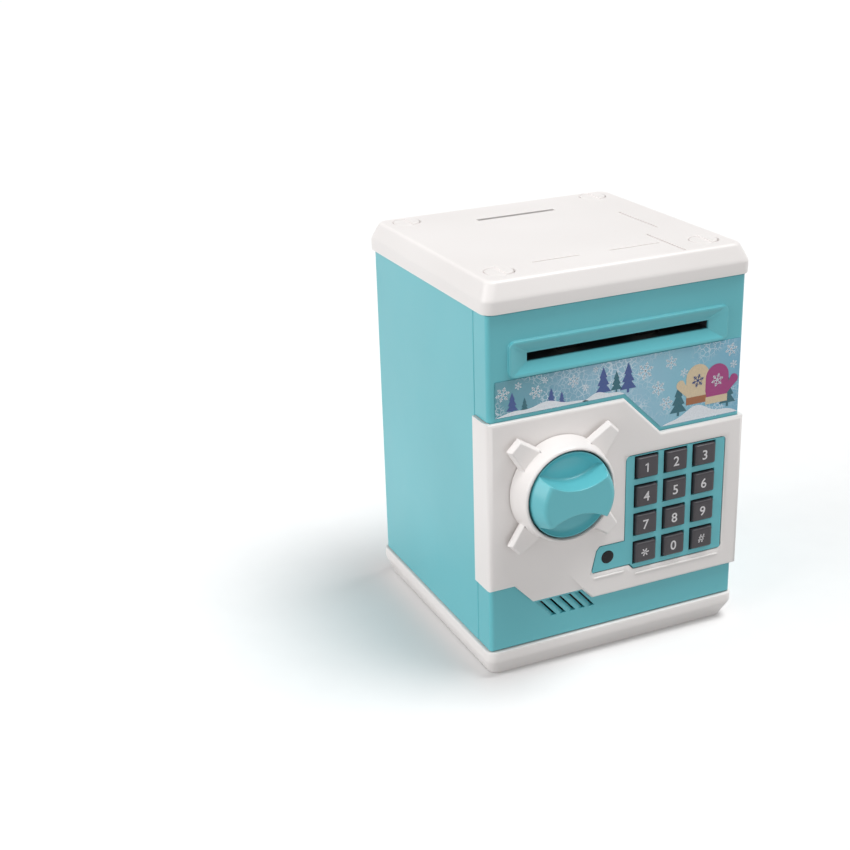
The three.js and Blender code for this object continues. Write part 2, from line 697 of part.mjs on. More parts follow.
function makeKnobShaft() {
  const { x, z } = KNOB;
  const gear = gearShape(LATCH.teeth, -Math.PI / 2);
  const pinion = prism("y", gear, [LATCH.front - 0.8, LATCH.rear]).translate([x, 0, z]);
  const shaft = rod("y", 4, [-65.7, LATCH.front - 0.8], [x, z], 20);
  return joined(shaft, pinion, rod("y", 1.8, [LATCH.rear - 1, LATCH.rear + 2.6], [x, z], 12));
}

// A flat bolt with a rack on top, under the knob's pinion, and two notches for the lock's plunger.
function makeLatchBolt() {
  const { module, share, addendum, dedendum } = TOOTH;
  const pitchLine = KNOB.z - (module * LATCH.teeth) / 2;
  const [rootLine, tipLine] = [pitchLine - dedendum, pitchLine + addendum];
  const depths = [LATCH.front, LATCH.rear];
  let bolt = block([LATCH.tip, LATCH.tail], depths, [LATCH.bottom, rootLine]);
  const tooth = module * Math.PI * share;
  for (let i = 0; i < LATCH.rackTeeth; i++) {
    const x = KNOB.x + (i - 1.5) * Math.PI * module;
    const face = outline([
      [x - tooth * 0.65, rootLine - 0.2],
      [x + tooth * 0.65, rootLine - 0.2],
      [x + tooth * 0.3, tipLine],
      [x - tooth * 0.3, tipLine],
    ]);
    bolt = joined(bolt, prism("y", face, depths));
  }
  const travel = (Math.PI / 2) * ((module * LATCH.teeth) / 2);
  for (const x of [PLUNGER.x, PLUNGER.x + travel]) {
    bolt = cut(bolt, block([x - 1.8, x + 1.8], [LATCH.front - 1, LATCH.rear + 1], [85.2, rootLine + 1]));
  }
  return bolt;
}

function makeLockSolenoid() {
  const [y, low, high] = [(LATCH.front + LATCH.rear) / 2, 93.5, 108];
  const coil = rod("z", 5.2, [low + 1.5, high - 1.5], [PLUNGER.x, y], 20);
  const yoke = cut(
    block([PLUNGER.x - 6, PLUNGER.x + 6], [y - 4.6, y + 4.6], [low, high]),
    block([PLUNGER.x - 4.5, PLUNGER.x + 4.5], [y - 6, y + 6], [low + 1.5, high - 1.5]),
  );
  return cut(joined(yoke, coil), rod("z", PLUNGER.radius + 0.35, [low - 1, high - 3], [PLUNGER.x, y], 12));
}

function makePlunger() {
  const y = (LATCH.front + LATCH.rear) / 2;
  return rod("z", PLUNGER.radius, [PLUNGER.bottom, PLUNGER.top], [PLUNGER.x, y], 12);
}

function makeSticker() {
  const [top, step, bottom] = [144.4, 130, 111.3];
  const face = outline([
    [-61.5, top],
    [63.6, top],
    [63.6, bottom],
    [23.6, bottom],
    [3.7, step],
    [-61.5, step],
  ]);
  return prism("y", face, [FRONT - 0.4, FRONT - 0.15]);
}

// Cheeks at both ends carry the roller shafts; two guides with windows for the rollers lead the banknote in.
function makeBillChute() {
  const { side, rear, bottom, top, plate, cheek } = CHUTE;
  const front = FRONT + DOOR.face + GAP;
  const depths = [front, rear];
  const inner = side - cheek;
  const nip = FEED.z + FEED.roller + 0.15;
  const lower = block([-side, side], depths, [nip - 2 - plate, nip - 2]);
  const upperGuide = (from, to) => block([-side, side], [from, to], [nip + 2.1, nip + 2.1 + plate]);
  const cheeks = [
    block([-side, -inner], depths, [bottom, top]),
    block([inner, side], depths, [bottom, top]),
  ];
  let chute = joined(lower, ...cheeks, upperGuide(front, FEED.y - 3), upperGuide(FEED.y + 3, rear));
  const pinchZ = nip + 0.15 + FEED.pinch;
  const bore = FEED.shaft + 0.35;
  const ends = [-side - 1, side + 1];
  chute = cut(chute, rod("x", bore, ends, [FEED.y, FEED.z], 16), rod("x", bore, ends, [FEED.y, pinchZ], 16));
  const motorBore = rod("x", 1.6, [inner - 1, side + 1], [FEED.y, motorZ()], 14);
  for (const x of [-20, 20]) {
    const window = block([x - 6, x + 6], [FEED.y - 6.6, FEED.y + 6.6], [nip - 6, nip + 6]);
    chute = cut(chute, window);
  }
  return cut(chute, motorBore);
}

function motorZ() {
  return FEED.z - (TOOTH.module * (FEED.teeth + FEED.pinionTeeth)) / 2;
}

function gearOnX(teeth, phase, z) {
  return prism("x", gearShape(teeth, phase), GEAR_X).translate([0, FEED.y, z]);
}

function makeFeedShaft() {
  const shaft = rod("x", FEED.shaft, [-CHUTE.side - 2.5, GEAR_X[0] + 1], [FEED.y, FEED.z], 14);
  const pitchAngle = (2 * Math.PI) / FEED.teeth;
  return joined(shaft, gearOnX(FEED.teeth, -Math.PI / 2 + pitchAngle / 2, FEED.z));
}

function makeRollerSleeve(x) {
  const sleeve = rod("x", FEED.roller, [x - 5, x + 5], [FEED.y, FEED.z], 24);
  return cut(sleeve, rod("x", FEED.shaft + GAP, [x - 6, x + 6], [FEED.y, FEED.z], 14));
}

function makePinchRoller() {
  const z = FEED.z + FEED.roller + FEED.pinch + GAP;
  const shaft = rod("x", FEED.shaft, [-CHUTE.side - 1.5, CHUTE.side + 1], [FEED.y, z], 14);
  const rollers = [-20, 20].map((x) => rod("x", FEED.pinch, [x - 5, x + 5], [FEED.y, z], 20));
  return joined(shaft, ...rollers);
}

function makeMotorPinion() {
  const shaft = rod("x", 1.1, [46, GEAR_X[0] + 1], [FEED.y, motorZ()], 12);
  return joined(shaft, gearOnX(FEED.pinionTeeth, Math.PI / 2, motorZ()));
}

function makeFeedMotor() {
  return rod("x", 7.2, [26, 45.7], [FEED.y, motorZ()], 24);
}

function makeSpeaker() {
  const { x, z, radius } = SPEAKER;
  const front = FRONT + DOOR.face + GAP;
  return turned(
    [
      [0, front + 2],
      [4, front + 2],
      [radius - 2, front],
      [radius, front],
      [radius, front + 1.6],
      [radius - 4, front + 4.2],
      [radius - 5.5, front + 4.2],
      [radius - 5.5, front + 5.6],
      [0, front + 5.6],
      [0, front + 2],
    ],
    x,
    z,
    24,
  );
}

function makeDoorCover() {
  const { left, right, bottom, top, front, rear, wall } = COVER;
  const flangeAcross = [-SIDE + DOOR.rim + 0.8, SIDE - DOOR.hingeRim - 0.4];
  const flange = block(flangeAcross, [front, DOOR_REAR], [DOOR.bottom + DOOR.rim + 0.8, top]);
  const box = block([left, right], [front, rear], [bottom, top]);
  const hollow = block([left + wall, right - wall], [front - 1, rear - wall], [bottom + wall, top - wall]);
  const boltSlot = block(
    [left - 1, left + wall + 1],
    [LATCH.front - 0.5, LATCH.rear + 0.5],
    [LATCH.bottom - 0.5, 88],
  );
  const holes = COVER_SCREWS.map(([x, z]) => rod("y", 1.5, [front - 1, DOOR_REAR + 1], [x, z], 12));
  return cut(joined(flange, box), hollow, boltSlot, ...holes);
}

function makeCircuitBoard() {
  const board = block([0, 56], [-54.4, -52.8], [38, 102]);
  const chip = block([20, 38], [-53, -51.2], [60, 72]);
  const connector = block([6, 16], [-53, -47.5], [90, 96]);
  return joined(board, chip, connector);
}

add(door, "door_shell", makeDoorShell(), LOOK.teal);
add(door, "fascia_panel", makeFascia(), LOOK.white);
add(door, "keypad_plate", makeKeypadPlate(), LOOK.teal);
add(door, "knob_ring", makeKnobRing(), LOOK.white);
add(door, "front_sticker", makeSticker(), LOOK.sticker);
const membraneDepth = [FRONT + DOOR.face + GAP, FRONT + DOOR.face + GAP + 1];
add(door, "keypad_membrane", block([3, 56.5], membraneDepth, [40, 99.5]), LOOK.black);
add(door, "circuit_board", makeCircuitBoard(), LOOK.board);
const sensorDepth = [FRONT - 0.6, membraneDepth[1]];
add(door, "sensor_lens", rod("y", SENSOR.radius - GAP, sensorDepth, [SENSOR.x, SENSOR.z], 20), LOOK.black);
add(door, "speaker", makeSpeaker(), LOOK.black);
add(door, "door_cover", makeDoorCover(), LOOK.white);
add(door, "bill_chute", makeBillChute(), LOOK.grey);
add(door, "feed_motor", makeFeedMotor(), LOOK.steel);
add(door, "lock_solenoid", makeLockSolenoid(), LOOK.grey);
add(door, "hinge_pin_bottom", rod("z", HINGE.pin, [8.3, DOOR.bottom + 7.7], [HINGE.x, HINGE.y], 16), LOOK.steel);
add(door, "hinge_pin_top", rod("z", HINGE.pin, [DOOR.top - 7.7, LID.bottom + 5.8], [HINGE.x, HINGE.y], 16), LOOK.steel);

const doorScrew = screwGeometry(2.5, 1.6, 0.9, 7);
COVER_SCREWS.forEach(([x, z], i) => {
  const screw = addGeometry(door, "door_cover_screw_" + (i + 1), doorScrew, LOOK.steel);
  screw.rotation.x = Math.PI / 2;
  screw.position.set(x, DOOR_REAR + GAP, z);
});

// ---------------------------------------------------------------- what moves on the door

add(door, "knob", makeKnob(), LOOK.teal);
add(door, "knob_shaft", makeKnobShaft(), LOOK.nylon);
add(door, "latch_bolt", makeLatchBolt(), LOOK.nylon);
add(door, "lock_plunger", makePlunger(), LOOK.steel);
add(door, "feed_shaft", makeFeedShaft(), LOOK.nylon);
add(door, "feed_roller_left", makeRollerSleeve(-20), LOOK.black);
add(door, "feed_roller_right", makeRollerSleeve(20), LOOK.black);
add(door, "pinch_roller", makePinchRoller(), LOOK.nylon);
add(door, "motor_pinion", makeMotorPinion(), LOOK.nylon);
const cap = keyGeometry();
eachKey((label, x, z) => {
  addGeometry(door, "key_" + label, cap, LOOK.charcoal).position.set(x, 0, z);
});

export default bank;
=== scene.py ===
"""Looks for a toy safe coin bank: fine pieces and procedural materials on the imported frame. Metres, +Z up."""
import json
import math

import bmesh
import bpy
from mathutils import Matrix, Vector


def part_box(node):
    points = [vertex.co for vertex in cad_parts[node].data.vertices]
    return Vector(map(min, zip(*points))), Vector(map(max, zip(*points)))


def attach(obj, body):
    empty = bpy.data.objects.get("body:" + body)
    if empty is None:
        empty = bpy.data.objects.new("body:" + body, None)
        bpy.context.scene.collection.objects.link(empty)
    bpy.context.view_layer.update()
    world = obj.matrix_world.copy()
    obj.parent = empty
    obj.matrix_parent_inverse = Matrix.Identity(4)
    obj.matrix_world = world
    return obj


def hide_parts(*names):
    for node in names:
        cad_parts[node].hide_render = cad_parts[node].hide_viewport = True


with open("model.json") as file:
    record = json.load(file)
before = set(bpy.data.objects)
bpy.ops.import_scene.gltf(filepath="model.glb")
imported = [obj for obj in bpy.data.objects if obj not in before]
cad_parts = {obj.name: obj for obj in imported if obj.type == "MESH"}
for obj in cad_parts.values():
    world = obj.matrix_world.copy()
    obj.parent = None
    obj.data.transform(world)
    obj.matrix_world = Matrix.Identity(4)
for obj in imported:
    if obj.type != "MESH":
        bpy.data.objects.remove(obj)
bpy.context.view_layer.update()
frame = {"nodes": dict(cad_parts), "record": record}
nodes = frame["nodes"]
record = frame["record"]
BODY = {node: body for body, members in record["behaviour"]["bodies"].items() for node in members}
SLOT = {part["node"]: part["material_slot"] for part in record["subparts"]}

MM = 0.001


# ---------------------------------------------------------------- procedural materials


def linear(red, green, blue):
    """An 8-bit display colour as linear light, opaque."""
    light = [((v / 255 + 0.055) / 1.055) ** 2.4 if v > 10 else v / 255 / 12.92 for v in (red, green, blue)]
    return (*light, 1)


class Graph:
    """A material's node tree, with short calls for the nodes used here."""

    def __init__(self, name):
        self.material = bpy.data.materials.new(name)
        self.material.use_nodes = True
        self.tree = self.material.node_tree
        self.shader = next(n for n in self.tree.nodes if n.type == "BSDF_PRINCIPLED")
        self.place = self.add("ShaderNodeTexCoord").outputs["Object"]

    def add(self, kind, **values):
        node = self.tree.nodes.new(kind)
        for key, value in values.items():
            setattr(node, key, value)
        return node

    def feed(self, target, source):
        if isinstance(source, bpy.types.NodeSocket):
            self.tree.links.new(source, target)
        else:
            target.default_value = source
        return target

    def noise(self, scale, detail=2.0, place=None):
        node = self.add("ShaderNodeTexNoise")
        self.feed(node.inputs["Vector"], place or self.place)
        self.feed(node.inputs["Scale"], scale)
        self.feed(node.inputs["Detail"], detail)
        return node.outputs["Fac"]

    def remap(self, value, low, high, to_low, to_high):
        node = self.add("ShaderNodeMapRange")
        names = ("Value", "From Min", "From Max", "To Min", "To Max")
        for name, source in zip(names, (value, low, high, to_low, to_high)):
            self.feed(node.inputs[name], source)
        return node.outputs["Result"]

    def math(self, operation, a, b=0.0):
        node = self.add("ShaderNodeMath", operation=operation)
        self.feed(node.inputs[0], a)
        self.feed(node.inputs[1], b)
        return node.outputs[0]

    def mix(self, factor, a, b, blend="MIX"):
        node = self.add("ShaderNodeMix", data_type="RGBA", blend_type=blend)
        self.feed(node.inputs[0], factor)
        self.feed(node.inputs[6], a)
        self.feed(node.inputs[7], b)
        return node.outputs[2]

    def bump(self, height, strength, distance=0.0001, normal=None):
        node = self.add("ShaderNodeBump")
        self.feed(node.inputs["Height"], height)
        self.feed(node.inputs["Strength"], strength)
        self.feed(node.inputs["Distance"], distance)
        if normal:
            self.feed(node.inputs["Normal"], normal)
        return node.outputs["Normal"]

    def set(self, **values):
        for key, value in values.items():
            self.feed(self.shader.inputs[key.replace("_", " ")], value)
        return self.material


def moulded(name, colour, deep, roughness, coat=0.15, grain=0.05, gloss=0.5, subsurface=0.0):
    """Injection-moulded plastic: faint flow clouds, painted shade that darkens the creases, fine orange peel
    and a clear sheen.
    """
    g = Graph(name)
    clouds = g.remap(g.noise(14, 1), 0.3, 0.7, 0.0, 0.12)
    tint = g.mix(clouds, colour, deep)
    # painted shade: ambient occlusion blends the colour towards the darker one in creases, corners and
    # recesses, where shade falls
    painted_crease_shade = g.add("ShaderNodeAmbientOcclusion", samples=8)
    g.feed(painted_crease_shade.inputs["Distance"], 2.0 * MM)
    tint = g.mix(g.remap(painted_crease_shade.outputs["AO"], 0.2, 0.8, 0.35, 0.0), tint, deep)
    normal = g.bump(g.noise(900, 1), grain, 0.00006)
    return g.set(
        Base_Color=tint,
        Roughness=g.remap(g.noise(60, 2), 0.25, 0.75, roughness - 0.02, roughness + 0.03),
        IOR=1.5,
        Specular_IOR_Level=gloss,
        Coat_Weight=coat,
        Coat_Roughness=0.12,
        Subsurface_Weight=subsurface,
        Subsurface_Radius=(0.8, 0.8, 0.8),
        Subsurface_Scale=0.0015,
        Normal=normal,
    )


def metal(name, colour, roughness):
    """Zinc-plated steel: brushed streaks and a spangle."""
    g = Graph(name)
    stretch = g.add("ShaderNodeMapping")
    g.feed(stretch.inputs["Vector"], g.place)
    g.feed(stretch.inputs["Scale"], (1, 1, 14))
    streaks = g.noise(900, 3, stretch.outputs["Vector"])
    return g.set(
        Base_Color=g.mix(g.noise(160, 2), colour, linear(150, 152, 158)),
        Metallic=1.0,
        Roughness=g.remap(streaks, 0.3, 0.7, roughness - 0.08, roughness + 0.12),
        Normal=g.bump(streaks, 0.12, 0.00005),
    )


def board():
    """Green solder mask with copper tracks under it."""
    g = Graph("circuit_board")
    weave = g.add("ShaderNodeTexBrick", offset=0.5)
    g.feed(weave.inputs["Vector"], g.place)
    g.feed(weave.inputs["Scale"], 260)
    g.feed(weave.inputs["Mortar Size"], 0.035)
    g.feed(weave.inputs["Color1"], linear(24, 92, 58))
    g.feed(weave.inputs["Color2"], linear(28, 104, 64))
    g.feed(weave.inputs["Mortar"], linear(62, 140, 88))
    return g.set(
        Base_Color=weave.outputs["Color"],
        Roughness=0.32,
        Coat_Weight=0.4,
        Normal=g.bump(weave.outputs["Fac"], 0.2),
    )


def cell_wrap():
    """A battery's printed sleeve: a dark body with a bright band at one end."""
    g = Graph("battery_wrap")
    axes = g.add("ShaderNodeSeparateXYZ")
    g.feed(axes.inputs[0], g.place)
    band = g.remap(g.math("ABSOLUTE", axes.outputs["X"]), 17 * MM, 17.2 * MM, 0.0, 1.0)
    colour = g.mix(band, linear(32, 78, 142), linear(196, 150, 72))
    return g.set(
        Base_Color=colour,
        Roughness=g.remap(g.noise(300), 0.3, 0.7, 0.2, 0.32),
        Metallic=0.35,
        Coat_Weight=0.5,
    )


def frosted_print():
    """The label: a pale icy blue that deepens to teal on the left, with frost crystals and specks."""
    g = Graph("sticker_print")
    axes = g.add("ShaderNodeSeparateXYZ")
    g.feed(axes.inputs[0], g.place)
    drift = g.math("MULTIPLY", g.math("SUBTRACT", g.noise(45, 4), 0.5), 0.05)
    along = g.remap(g.math("ADD", axes.outputs["X"], drift), -60 * MM, 60 * MM, 0.0, 1.0)
    ramp = g.add("ShaderNodeValToRGB")
    g.feed(ramp.inputs["Fac"], along)
    stops = ramp.color_ramp.elements
    stops[0].position, stops[0].color = 0.0, linear(80, 152, 166)
    stops[1].position, stops[1].color = 1.0, linear(112, 176, 204)
    between = ((0.22, (108, 162, 184)), (0.5, (150, 194, 216)), (0.8, (128, 190, 210)))
    for position, shade in between:
        stops.new(position).color = linear(*shade)
    crystals = g.add("ShaderNodeTexVoronoi", feature="DISTANCE_TO_EDGE")
    g.feed(crystals.inputs["Vector"], g.place)
    g.feed(crystals.inputs["Scale"], 420)
    ice = g.remap(crystals.outputs["Distance"], 0.0, 0.09, 1.0, 0.0)
    patches = g.remap(g.noise(60, 3), 0.46, 0.62, 0.0, 1.0)
    frost = g.math("MULTIPLY", g.math("MULTIPLY", ice, patches), 0.75)
    specks = g.remap(g.noise(1500, 1), 0.66, 0.72, 0.0, 0.8)
    colour = g.mix(frost, ramp.outputs["Color"], linear(226, 238, 246))
    colour = g.mix(g.math("MULTIPLY", specks, patches), colour, linear(246, 250, 253))
    return g.set(
        Base_Color=colour,
        Roughness=g.remap(g.noise(200), 0.3, 0.7, 0.16, 0.26),
        Coat_Weight=0.6,
        Coat_Roughness=0.05,
    )


def ink(name, colour):
    """Printed ink, slightly uneven."""
    g = Graph(name)
    uneven = g.remap(g.noise(1200, 3), 0.3, 0.7, 0.0, 0.18)
    return g.set(
        Base_Color=g.mix(uneven, colour, linear(120, 120, 124)),
        Roughness=0.45,
        Normal=g.bump(g.noise(2500), 0.1),
    )


# name: colour, darker colour (for the flow clouds and for the painted shade in the creases), roughness, and
# what else differs from a plain moulding
PLASTICS = {
    "teal_plastic": ((104, 196, 206), (44, 130, 138), 0.3, {}),
    "white_plastic": ((246, 242, 240), (200, 192, 188), 0.33, {}),
    "charcoal_keys": ((64, 60, 65), (20, 19, 22), 0.42, {"coat": 0.05, "grain": 0.12}),
    "black_plastic": ((14, 17, 21), (5, 5, 7), 0.16, {"coat": 0.0, "gloss": 0.25}),
    "roller_rubber": ((34, 34, 36), (14, 14, 15), 0.75, {"coat": 0.0, "grain": 0.3}),
    "nylon": ((224, 218, 200), (176, 166, 140), 0.42, {"coat": 0.05, "subsurface": 0.15}),
    "grey_plastic": ((58, 60, 64), (26, 27, 30), 0.45, {"coat": 0.05, "grain": 0.12}),
}
INKS = {
    "legend_ink": (232, 230, 232),
    "snow_ink": (238, 244, 250),
    "navy_ink": (62, 88, 150),
    "pine_ink": (36, 104, 118),
    "magenta_ink": (170, 58, 128),
    "amber_ink": (168, 104, 62),
    "cream_ink": (226, 206, 172),
}

MATERIAL = {
    name: moulded(name, linear(*colour), linear(*deep), roughness, **other)
    for name, (colour, deep, roughness, other) in PLASTICS.items()
}
MATERIAL |= {
    "circuit_board": board(),
    "battery_wrap": cell_wrap(),
    "steel": metal("steel", linear(196, 198, 202), 0.32),
    "sticker_print": frosted_print(),
}
MATERIAL |= {name: ink(name, linear(*colour)) for name, colour in INKS.items()}

for node, cad in nodes.items():
    cad.data.materials.clear()
    cad.data.materials.append(MATERIAL[SLOT[node]])


# ---------------------------------------------------------------- making pieces


def piece(name, mesh, body, slot, stands_for=(), material=None):
    """Puts a mesh in the scene as a piece that rides on a body."""
    made = bpy.data.objects.new(name, mesh)
    bpy.context.scene.collection.objects.link(made)
    mesh.materials.clear()
    mesh.materials.append(MATERIAL[material or slot])
    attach(made, body)
    if stands_for:
        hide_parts(*stands_for)
    return made


def to_mesh(name, bm):
    mesh = bpy.data.meshes.new(name)
    bm.normal_update()
    bm.to_mesh(mesh)
    bm.free()
    return mesh


def carved(mesh, cutters, operation="DIFFERENCE"):
    """The mesh with the other meshes taken out of it, or joined to it."""
    host = bpy.data.objects.new("host", mesh)
    bpy.context.scene.collection.objects.link(host)
    tools = []
    for cutter in cutters:
        tool = bpy.data.objects.new("tool", cutter)
        bpy.context.scene.collection.objects.link(tool)
        modifier = host.modifiers.new("cut", "BOOLEAN")
        modifier.object = tool
        modifier.operation = operation
        modifier.solver = "EXACT"
        tools.append(tool)
    graph = bpy.context.evaluated_depsgraph_get()
    result = bpy.data.meshes.new_from_object(host.evaluated_get(graph), depsgraph=graph)
    for used in [host, *tools]:
        bpy.data.objects.remove(used)
    return result


def cleaned(mesh):
    """Triangles back to whole flat faces."""
    bm = bmesh.new()
    bm.from_mesh(mesh)
    bmesh.ops.remove_doubles(bm, verts=bm.verts, dist=2e-6)
    bmesh.ops.dissolve_degenerate(bm, edges=bm.edges, dist=2e-6)
    bmesh.ops.dissolve_limit(bm, angle_limit=math.radians(0.6), verts=bm.verts, edges=bm.edges)
    return bm


def soften(made, width, segments=3, angle=28, where=None, shortest=0.0):
    """Rounds the edges sharper than angle and at least as long as shortest, in millimetres.

    where, if given, picks edges by their middle in millimetres.
    """
    bm = cleaned(made.data)
    weight = bm.edges.layers.float.get("bevel_weight_edge") or bm.edges.layers.float.new("bevel_weight_edge")
    for edge in bm.edges:
        middle = (edge.verts[0].co + edge.verts[1].co) / 2 / MM
        sharp = len(edge.link_faces) == 2 and edge.calc_face_angle(0) > math.radians(angle)
        sharp = sharp and edge.calc_length() >= shortest * MM
        edge[weight] = 1.0 if sharp and (where is None or where(middle)) else 0.0
    bm.to_mesh(made.data)
    bm.free()
    made.data.shade_smooth()
    made.data.set_sharp_from_angle(angle=math.radians(38))
    bevel = made.modifiers.new("rounding", "BEVEL")
    bevel.limit_method = "WEIGHT"
    bevel.width = width * MM
    bevel.segments = segments
    bevel.use_clamp_overlap = False
    bevel.miter_outer = "MITER_ARC"
    normals = made.modifiers.new("normals", "WEIGHTED_NORMAL")
    normals.keep_sharp = True
    normals.weight = 60
    return made


def refined(node, width, **options):
    """A CAD node's shape as a piece of its own with rounded edges."""
    made = piece("fine_" + node, nodes[node].data.copy(), BODY[node], SLOT[node], [node])
    return soften(made, width, **options)


def slab(points, low, high):
    """A mesh of a polygon in (x, z), in millimetres, from y = low to y = high."""
    bm = bmesh.new()
    near = [bm.verts.new((x * MM, low * MM, z * MM)) for x, z in points]
    face = bm.faces.new(near)
    grown = bmesh.ops.extrude_face_region(bm, geom=[face])
    moved = [v for v in grown["geom"] if isinstance(v, bmesh.types.BMVert)]
    bmesh.ops.translate(bm, verts=moved, vec=(0, (high - low) * MM, 0))
    bmesh.ops.recalc_face_normals(bm, faces=bm.faces)
    return to_mesh("slab", bm)


def box_mesh(low, high):
    """A box between two corners, in millimetres."""
    (x0, y0, z0), (x1, y1, z1) = low, high
    return slab([(x0, z0), (x1, z0), (x1, z1), (x0, z1)], y0, y1)


def lathe(profile, x, z, steps=96):
    """A closed piece turned about an axis along Y; profile is [(radius, y)] from axis to axis."""
    bm = bmesh.new()
    rings = []
    for radius, y in profile:
        if radius == 0:
            rings.append([bm.verts.new((x * MM, y * MM, z * MM))])
            continue
        turn = [2 * math.pi * i / steps for i in range(steps)]
        around = [(x + radius * math.cos(t), y, z + radius * math.sin(t)) for t in turn]
        rings.append([bm.verts.new(Vector(point) * MM) for point in around])
    for inner, outer in zip(rings, rings[1:]):
        for i in range(steps):
            j = (i + 1) % steps
            corners = [ring[k % len(ring)] for ring, k in ((inner, i), (inner, j), (outer, j), (outer, i))]
            distinct = list(dict.fromkeys(corners))
            if len(distinct) > 2:
                bm.faces.new(distinct)
    bmesh.ops.remove_doubles(bm, verts=bm.verts, dist=1e-7)
    bmesh.ops.recalc_face_normals(bm, faces=bm.faces)
    return to_mesh("lathe", bm)


def rounded_ring(half_x, half_y, radius, steps=8):
    """Points round a rectangle with rounded corners."""
    points = []
    for sx, sy, start in ((1, -1, -0.5), (1, 1, 0), (-1, 1, 0.5), (-1, -1, 1)):
        x, y = sx * (half_x - radius), sy * (half_y - radius)
        turns = [math.pi * (start + 0.5 * i / steps) for i in range(steps + 1)]
        points += [(x + radius * math.cos(t), y + radius * math.sin(t)) for t in turns]
    return points


def wrapped(bm, rings):
    """Closes a stack of rings of equal count into a solid mesh."""
    count = len(rings[0])
    for low, high in zip(rings, rings[1:]):
        for i in range(count):
            j = (i + 1) % count
            bm.faces.new((low[i], low[j], high[j], high[i]))
    bm.faces.new(rings[0][::-1])
    bm.faces.new(rings[-1])
    bmesh.ops.recalc_face_normals(bm, faces=bm.faces)
    return to_mesh("wrapped", bm)


def skinned(levels, place):
    """A closed skin over rounded rectangles of (half_x, half_y, radius, level), each point put by place."""
    bm = bmesh.new()
    rings = [
        [bm.verts.new(place(u, v, level)) for u, v in rounded_ring(half_x, half_y, radius)]
        for half_x, half_y, radius, level in levels
    ]
    return wrapped(bm, rings)


def arc(centre, radius, start, end, steps):
    """Points on an arc, angles in degrees."""
    turns = [math.radians(start + (end - start) * i / steps) for i in range(steps + 1)]
    return [(centre[0] + radius * math.cos(t), centre[1] + radius * math.sin(t)) for t in turns]


def spun(profile, x, y, z):
    """A closed piece turned about an axis along Z; profile is [(radius, height)] from axis to axis."""
    mesh = lathe(profile, 0, 0, 72)
    mesh.transform(Matrix.Rotation(math.pi / 2, 4, "X"))
    mesh.transform(Matrix.Translation(Vector((x, y, z)) * MM))
    return mesh


# ---------------------------------------------------------------- cabinet


def centre_and_size(node):
    low, high = (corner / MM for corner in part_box(node))
    return (low + high) / 2, high - low


LID_BAND = 5.9  # height of the upright band
LID_RUN = 3.5  # how far the chamfer runs in above the band
LID_CORNER = 5.2
LID_ROOF = 2.5
LINE_DEPTH = 0.8  # the lines moulded in the top
CROSSWISE_LINES = ((-33, -9.4), (5.5, 31.7))  # from x to x
LENGTHWISE_LINES = ((34.5, -56, -23.6), (45.6, -16.2, 18.9))  # at x, from y to y
DISH = [(0, -1.1), (6.45, -1.1), (7.1, 0.01), (0, 0.01)]  # the seat of a plug, from the lid's top
PLUG_DISC = [(0, 0), (6.3, 0), (6.3, 0.45), (6.1, 0.62), (5.7, 0.7), (0, 0.7)]
PLUG_STEP = [(0, 0.3), (6.1, 0.3), (6.1, 0.9), (5.8, 1.1), (5.2, 1.18), (0, 1.18)]


def make_lid():
    """The lid: a band, a long chamfer and a flat top with a coin slot and faint moulded lines."""
    middle, size = centre_and_size("lid")
    bottom, top = middle.z - size.z / 2, middle.z + size.z / 2
    band, run = bottom + LID_BAND, LID_RUN
    profile = [(0.45, bottom), (0.13, bottom + 0.13), (0, bottom + 0.45), (0, band - 0.7)]
    profile += [(0.06, band - 0.1), (0.25, band + 0.6), (0.56, band + 1.3)]
    profile += [(run - 0.62, top - 1.45), (run - 0.28, top - 0.85), (run + 0.2, top - 0.38)]
    profile += [(run + 0.8, top - 0.1), (run + 1.5, top)]
    levels = [
        (size.x / 2 - inset, size.y / 2 - inset, LID_CORNER - inset * 0.2, z) for inset, z in profile
    ]
    outer = skinned(levels, lambda u, v, z: (u * MM, (middle.y + v) * MM, z * MM))
    hollow = box_mesh((-60, -56.5, bottom - 1), (60, 61.5, top - LID_ROOF))
    coin_slot = box_mesh((-20.5, 37.9, bottom), (21.5, 41.1, top + 1))
    low, high = top - LINE_DEPTH, top + 1
    lines = [box_mesh((x0, -40.1, low), (x1, -38.9, high)) for x0, x1 in CROSSWISE_LINES]
    lines += [box_mesh((x - 0.5, y0, low), (x + 0.5, y1, high)) for x, y0, y1 in LENGTHWISE_LINES]
    return carved(outer, [hollow, coin_slot, *lines]), top


lid_mesh, LID_TOP = make_lid()
dishes = []
for plug in [n for n in nodes if n.startswith("lid_plug")]:
    spot, size = centre_and_size(plug)
    base = spot.z - size.z / 2
    dishes.append(spun(DISH, spot.x, spot.y, LID_TOP))
    right_half = box_mesh((spot.x + 0.6, spot.y - 9, base - 1), (spot.x + 9, spot.y + 9, base + 3))
    step = carved(spun(PLUG_STEP, spot.x, spot.y, base), [right_half], "INTERSECT")
    disc = carved(spun(PLUG_DISC, spot.x, spot.y, base), [step], "UNION")
    soften(piece("fine_" + plug, disc, "cabinet", "white_plastic", [plug]), 0.12, segments=2)
lid = piece("fine_lid", carved(lid_mesh, dishes), "cabinet", "white_plastic", ["lid"])
soften(lid, 0.2, angle=40, where=lambda p: p.z > LID_TOP - 0.5)

refined("cabinet_shell", 0.45, where=lambda p: p.y < -46)


